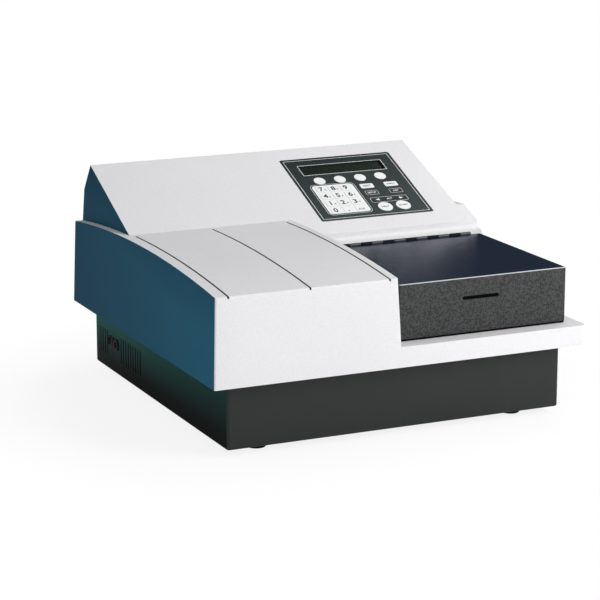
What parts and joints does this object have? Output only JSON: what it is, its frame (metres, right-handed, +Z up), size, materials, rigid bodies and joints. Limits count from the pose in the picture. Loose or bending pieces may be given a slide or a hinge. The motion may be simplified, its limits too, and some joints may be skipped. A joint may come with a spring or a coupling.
{
  "type": "microplate reader",
  "caption": "Bench microplate reader: crowned light housing on an inset dark base, hinged lid over the plate bay, sloping keypad console, plate carriage and filter optics inside.",
  "frame": {"origin": "on the bench, under the middle of the housing", "axes": "+X to the right seen from the front, +Y to the rear, +Z up"},
  "size_m": [0.394, 0.382, 0.2174],
  "materials": {
    "housing_grey": "fine matt light grey moulding",
    "base_dark": "charcoal moulding",
    "lid_dark": "pebbled charcoal moulding",
    "panel_dark": "printed dark green overlay",
    "window": "tinted display window",
    "key_white": "printed white key",
    "key_pale": "printed pale key",
    "key_dark": "printed dark key",
    "steel": "bright steel",
    "zinc": "zinc plated sheet",
    "aluminium": "machined aluminium",
    "black_plastic": "black moulding",
    "bronze": "sintered bronze",
    "belt": "moulded belt",
    "rubber": "soft black rubber",
    "board": "green laminate",
    "lamp_glass": "clear quartz",
    "filter_glass": "coated filter glass",
    "sleeve": "black sleeving"
  },
  "bodies": {
    "reader": {"base_pan": "base_dark", "top_housing": "housing_grey", "rubber_feet": "rubber", "case_screws": "steel", "keypad_panel": "panel_dark", "display_window": "window", "lcd_module": "board", "mechanism_plate": "zinc", "guide_rod": "steel", "support_rail": "steel", "carriage_motor": "black_plastic", "timing_belt": "belt", "lamp_holder": "aluminium", "halogen_lamp": "lamp_glass", "filter_motor": "black_plastic", "fibre_bundle": "sleeve", "optics_head": "aluminium", "detector_board": "board", "main_board": "board", "fan_frame": "black_plastic", "switch_body": "black_plastic", "dc_inlet": "black_plastic", "data_ports": "steel", "hinge_fixed_leaf": "steel", "hinge_pin": "steel"},
    "lid_assembly": {"lid": "lid_dark", "hinge_moving_leaf": "steel"},
    "carriage": {"plate_carrier": "black_plastic", "carrier_bushings": "bronze"},
    "drive_pulley_body": {"drive_pulley": "aluminium"},
    "idler_pulley_body": {"idler_pulley": "aluminium"},
    "filter_wheel_body": {"filter_wheel": "aluminium", "optical_filters": "filter_glass"},
    "fan_rotor_body": {"fan_rotor": "black_plastic"},
    "rocker_body": {"switch_rocker": "black_plastic"},
    "soft_key_1_body": {"soft_key_1": "key_white"},
    "soft_key_2_body": {"soft_key_2": "key_white"},
    "soft_key_3_body": {"soft_key_3": "key_white"},
    "soft_key_4_body": {"soft_key_4": "key_white"},
    "number_key_0_body": {"number_key_0": "key_white"},
    "number_key_1_body": {"number_key_1": "key_white"},
    "number_key_2_body": {"number_key_2": "key_white"},
    "number_key_3_body": {"number_key_3": "key_white"},
    "number_key_4_body": {"number_key_4": "key_white"},
    "number_key_5_body": {"number_key_5": "key_white"},
    "number_key_6_body": {"number_key_6": "key_white"},
    "number_key_7_body": {"number_key_7": "key_white"},
    "number_key_8_body": {"number_key_8": "key_white"},
    "number_key_9_body": {"number_key_9": "key_white"},
    "number_key_point_body": {"number_key_point": "key_white"},
    "number_key_symbol_body": {"number_key_symbol": "key_white"},
    "clear_key_body": {"clear_key": "key_pale"},
    "enter_key_body": {"enter_key": "key_pale"},
    "options_key_body": {"options_key": "key_dark"},
    "menu_key_body": {"menu_key": "key_dark"},
    "left_key_body": {"left_key": "key_dark"},
    "shift_key_body": {"shift_key": "key_dark"},
    "right_key_body": {"right_key": "key_dark"},
    "stop_key_body": {"stop_key": "key_white"},
    "read_key_body": {"read_key": "key_white"}
  },
  "joints": [
    {"name": "lid_hinge", "type": "hinge", "parent": "reader", "child": "lid_assembly", "pos_m": [0, 0, 0.1482], "axis": [-1, 0, 0], "range_deg": [0, 105]},
    {"name": "carrier_slide", "type": "slide", "parent": "reader", "child": "carriage", "axis": [-1, 0, 0], "range_m": [0, 0.196]},
    {"name": "drive_pulley_spin", "type": "hinge", "parent": "reader", "child": "drive_pulley_body", "pos_m": [-0.15, -0.019, 0.08], "axis": [0, 0, -1], "continuous": true},
    {"name": "idler_pulley_spin", "type": "hinge", "parent": "reader", "child": "idler_pulley_body", "pos_m": [0.15, -0.019, 0.08], "axis": [0, 0, -1], "continuous": true},
    {"name": "filter_wheel_spin", "type": "hinge", "parent": "reader", "child": "filter_wheel_body", "pos_m": [-0.084, 0.062, 0.118], "axis": [1, 0, 0], "continuous": true},
    {"name": "fan_spin", "type": "hinge", "parent": "reader", "child": "fan_rotor_body", "pos_m": [-0.1, 0.165, 0.04], "axis": [0, 1, 0], "continuous": true},
    {"name": "rocker_tilt", "type": "hinge", "parent": "reader", "child": "rocker_body", "pos_m": [-0.177, 0.1332, 0.0388], "axis": [0, 0, -1], "range_deg": [0, 18]},
    {"name": "soft_key_1_press", "type": "slide", "parent": "reader", "child": "soft_key_1_body", "axis": [0, 0.3859, -0.9225], "range_m": [0, 0.0005], "stiffness_N_per_m": 600},
    {"name": "soft_key_2_press", "type": "slide", "parent": "reader", "child": "soft_key_2_body", "axis": [0, 0.3859, -0.9225], "range_m": [0, 0.0005], "stiffness_N_per_m": 600},
    {"name": "soft_key_3_press", "type": "slide", "parent": "reader", "child": "soft_key_3_body", "axis": [0, 0.3859, -0.9225], "range_m": [0, 0.0005], "stiffness_N_per_m": 600},
    {"name": "soft_key_4_press", "type": "slide", "parent": "reader", "child": "soft_key_4_body", "axis": [0, 0.3859, -0.9225], "range_m": [0, 0.0005], "stiffness_N_per_m": 600},
    {"name": "number_key_0_press", "type": "slide", "parent": "reader", "child": "number_key_0_body", "axis": [0, 0.3859, -0.9225], "range_m": [0, 0.0005], "stiffness_N_per_m": 600},
    {"name": "number_key_1_press", "type": "slide", "parent": "reader", "child": "number_key_1_body", "axis": [0, 0.3859, -0.9225], "range_m": [0, 0.0005], "stiffness_N_per_m": 600},
    {"name": "number_key_2_press", "type": "slide", "parent": "reader", "child": "number_key_2_body", "axis": [0, 0.3859, -0.9225], "range_m": [0, 0.0005], "stiffness_N_per_m": 600},
    {"name": "number_key_3_press", "type": "slide", "parent": "reader", "child": "number_key_3_body", "axis": [0, 0.3859, -0.9225], "range_m": [0, 0.0005], "stiffness_N_per_m": 600},
    {"name": "number_key_4_press", "type": "slide", "parent": "reader", "child": "number_key_4_body", "axis": [0, 0.3859, -0.9225], "range_m": [0, 0.0005], "stiffness_N_per_m": 600},
    {"name": "number_key_5_press", "type": "slide", "parent": "reader", "child": "number_key_5_body", "axis": [0, 0.3859, -0.9225], "range_m": [0, 0.0005], "stiffness_N_per_m": 600},
    {"name": "number_key_6_press", "type": "slide", "parent": "reader", "child": "number_key_6_body", "axis": [0, 0.3859, -0.9225], "range_m": [0, 0.0005], "stiffness_N_per_m": 600},
    {"name": "number_key_7_press", "type": "slide", "parent": "reader", "child": "number_key_7_body", "axis": [0, 0.3859, -0.9225], "range_m": [0, 0.0005], "stiffness_N_per_m": 600},
    {"name": "number_key_8_press", "type": "slide", "parent": "reader", "child": "number_key_8_body", "axis": [0, 0.3859, -0.9225], "range_m": [0, 0.0005], "stiffness_N_per_m": 600},
    {"name": "number_key_9_press", "type": "slide", "parent": "reader", "child": "number_key_9_body", "axis": [0, 0.3859, -0.9225], "range_m": [0, 0.0005], "stiffness_N_per_m": 600},
    {"name": "number_key_point_press", "type": "slide", "parent": "reader", "child": "number_key_point_body", "axis": [0, 0.3859, -0.9225], "range_m": [0, 0.0005], "stiffness_N_per_m": 600},
    {"name": "number_key_symbol_press", "type": "slide", "parent": "reader", "child": "number_key_symbol_body", "axis": [0, 0.3859, -0.9225], "range_m": [0, 0.0005], "stiffness_N_per_m": 600},
    {"name": "clear_key_press", "type": "slide", "parent": "reader", "child": "clear_key_body", "axis": [0, 0.3859, -0.9225], "range_m": [0, 0.0005], "stiffness_N_per_m": 600},
    {"name": "enter_key_press", "type": "slide", "parent": "reader", "child": "enter_key_body", "axis": [0, 0.3859, -0.9225], "range_m": [0, 0.0005], "stiffness_N_per_m": 600},
    {"name": "options_key_press", "type": "slide", "parent": "reader", "child": "options_key_body", "axis": [0, 0.3859, -0.9225], "range_m": [0, 0.0005], "stiffness_N_per_m": 600},
    {"name": "menu_key_press", "type": "slide", "parent": "reader", "child": "menu_key_body", "axis": [0, 0.3859, -0.9225], "range_m": [0, 0.0005], "stiffness_N_per_m": 600},
    {"name": "left_key_press", "type": "slide", "parent": "reader", "child": "left_key_body", "axis": [0, 0.3859, -0.9225], "range_m": [0, 0.0005], "stiffness_N_per_m": 600},
    {"name": "shift_key_press", "type": "slide", "parent": "reader", "child": "shift_key_body", "axis": [0, 0.3859, -0.9225], "range_m": [0, 0.0005], "stiffness_N_per_m": 600},
    {"name": "right_key_press", "type": "slide", "parent": "reader", "child": "right_key_body", "axis": [0, 0.3859, -0.9225], "range_m": [0, 0.0005], "stiffness_N_per_m": 600},
    {"name": "stop_key_press", "type": "slide", "parent": "reader", "child": "stop_key_body", "axis": [0, 0.3859, -0.9225], "range_m": [0, 0.0005], "stiffness_N_per_m": 600},
    {"name": "read_key_press", "type": "slide", "parent": "reader", "child": "read_key_body", "axis": [0, 0.3859, -0.9225], "range_m": [0, 0.0005], "stiffness_N_per_m": 600}
  ],
  "couplings": [
    {"joint": "drive_pulley_spin", "follows": "carrier_slide", "rad_per_m": 114.94},
    {"joint": "idler_pulley_spin", "follows": "carrier_slide", "rad_per_m": 114.94}
  ]
}
